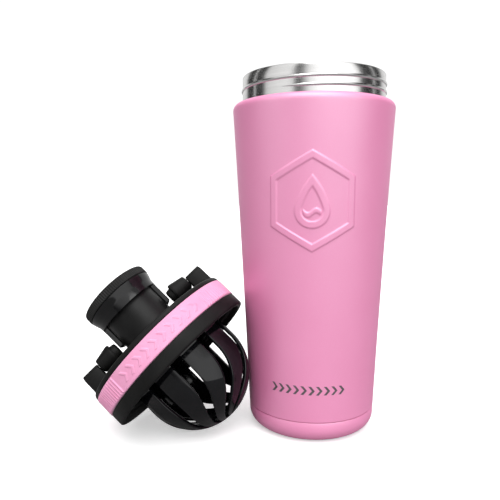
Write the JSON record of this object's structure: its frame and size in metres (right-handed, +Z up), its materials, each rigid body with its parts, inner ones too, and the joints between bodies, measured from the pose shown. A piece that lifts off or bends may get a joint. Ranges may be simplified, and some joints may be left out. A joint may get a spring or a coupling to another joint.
{
  "type": "protein shaker bottle",
  "caption": "Insulated steel shaker bottle standing open, with a screw lid beside it that has a pull-up spout cap, carry handle and slotted agitator cage.",
  "frame": {"origin": "centre of the bottle's base, on the surface it stands on", "axes": "+Z up along the bottle's axis; the lid leans on its side towards -X; -Y is the front, where the emblem is"},
  "size_m": [0.1767, 0.1113, 0.1992],
  "materials": {
    "pink_coat": "fine matte powder coat",
    "steel": "turned stainless steel",
    "solder": "dull solder",
    "getter_metal": "dark sintered metal",
    "matte_black": "fine moulded texture",
    "satin_black": "satin moulded plastic",
    "gloss_black": "polished moulded plastic",
    "grip_black": "fine ribbed plastic",
    "cage_black": "glossy tinted plastic",
    "pink_silicone": "soft-touch silicone",
    "clear_silicone": "translucent silicone"
  },
  "bodies": {
    "bottle": {"outer_shell": "pink_coat", "inner_vessel": "steel", "base_cup": "pink_coat", "vacuum_base": "steel", "seal_plug": "solder", "vacuum_getter": "getter_metal"},
    "lid": {"lid_shell": "matte_black", "lid_band": "pink_silicone", "lid_gasket": "clear_silicone", "hinge_pin_right": "steel", "hinge_pin_left": "steel", "spout_post": "satin_black", "spout_oring": "clear_silicone", "plug_tip": "clear_silicone"},
    "cap": {"pop_cap": "gloss_black", "cap_grip_ring": "grip_black"},
    "handle": {"carry_handle": "matte_black"},
    "agitator": {"agitator_cage": "cage_black"}
  },
  "joints": [
    {"name": "lid_lift", "type": "slide", "parent": "bottle", "child": "lid", "axis": [-0.7441, 0.1374, 0.6537], "range_m": [0, 0.12]},
    {"name": "cap_pull", "type": "slide", "parent": "lid", "child": "cap", "axis": [-0.7441, 0.1374, 0.6537], "range_m": [0, 0.008]},
    {"name": "handle_swing", "type": "hinge", "parent": "lid", "child": "handle", "pos_m": [-0.09708, -0.0142, 0.05887], "axis": [0.6493, 0.3791, 0.6594], "range_deg": [0, 203]},
    {"name": "agitator_twist", "type": "hinge", "parent": "lid", "child": "agitator", "pos_m": [-0.0781, -0.0177, 0.0422], "axis": [-0.7441, 0.1374, 0.6537], "range_deg": [0, 45]}
  ]
}
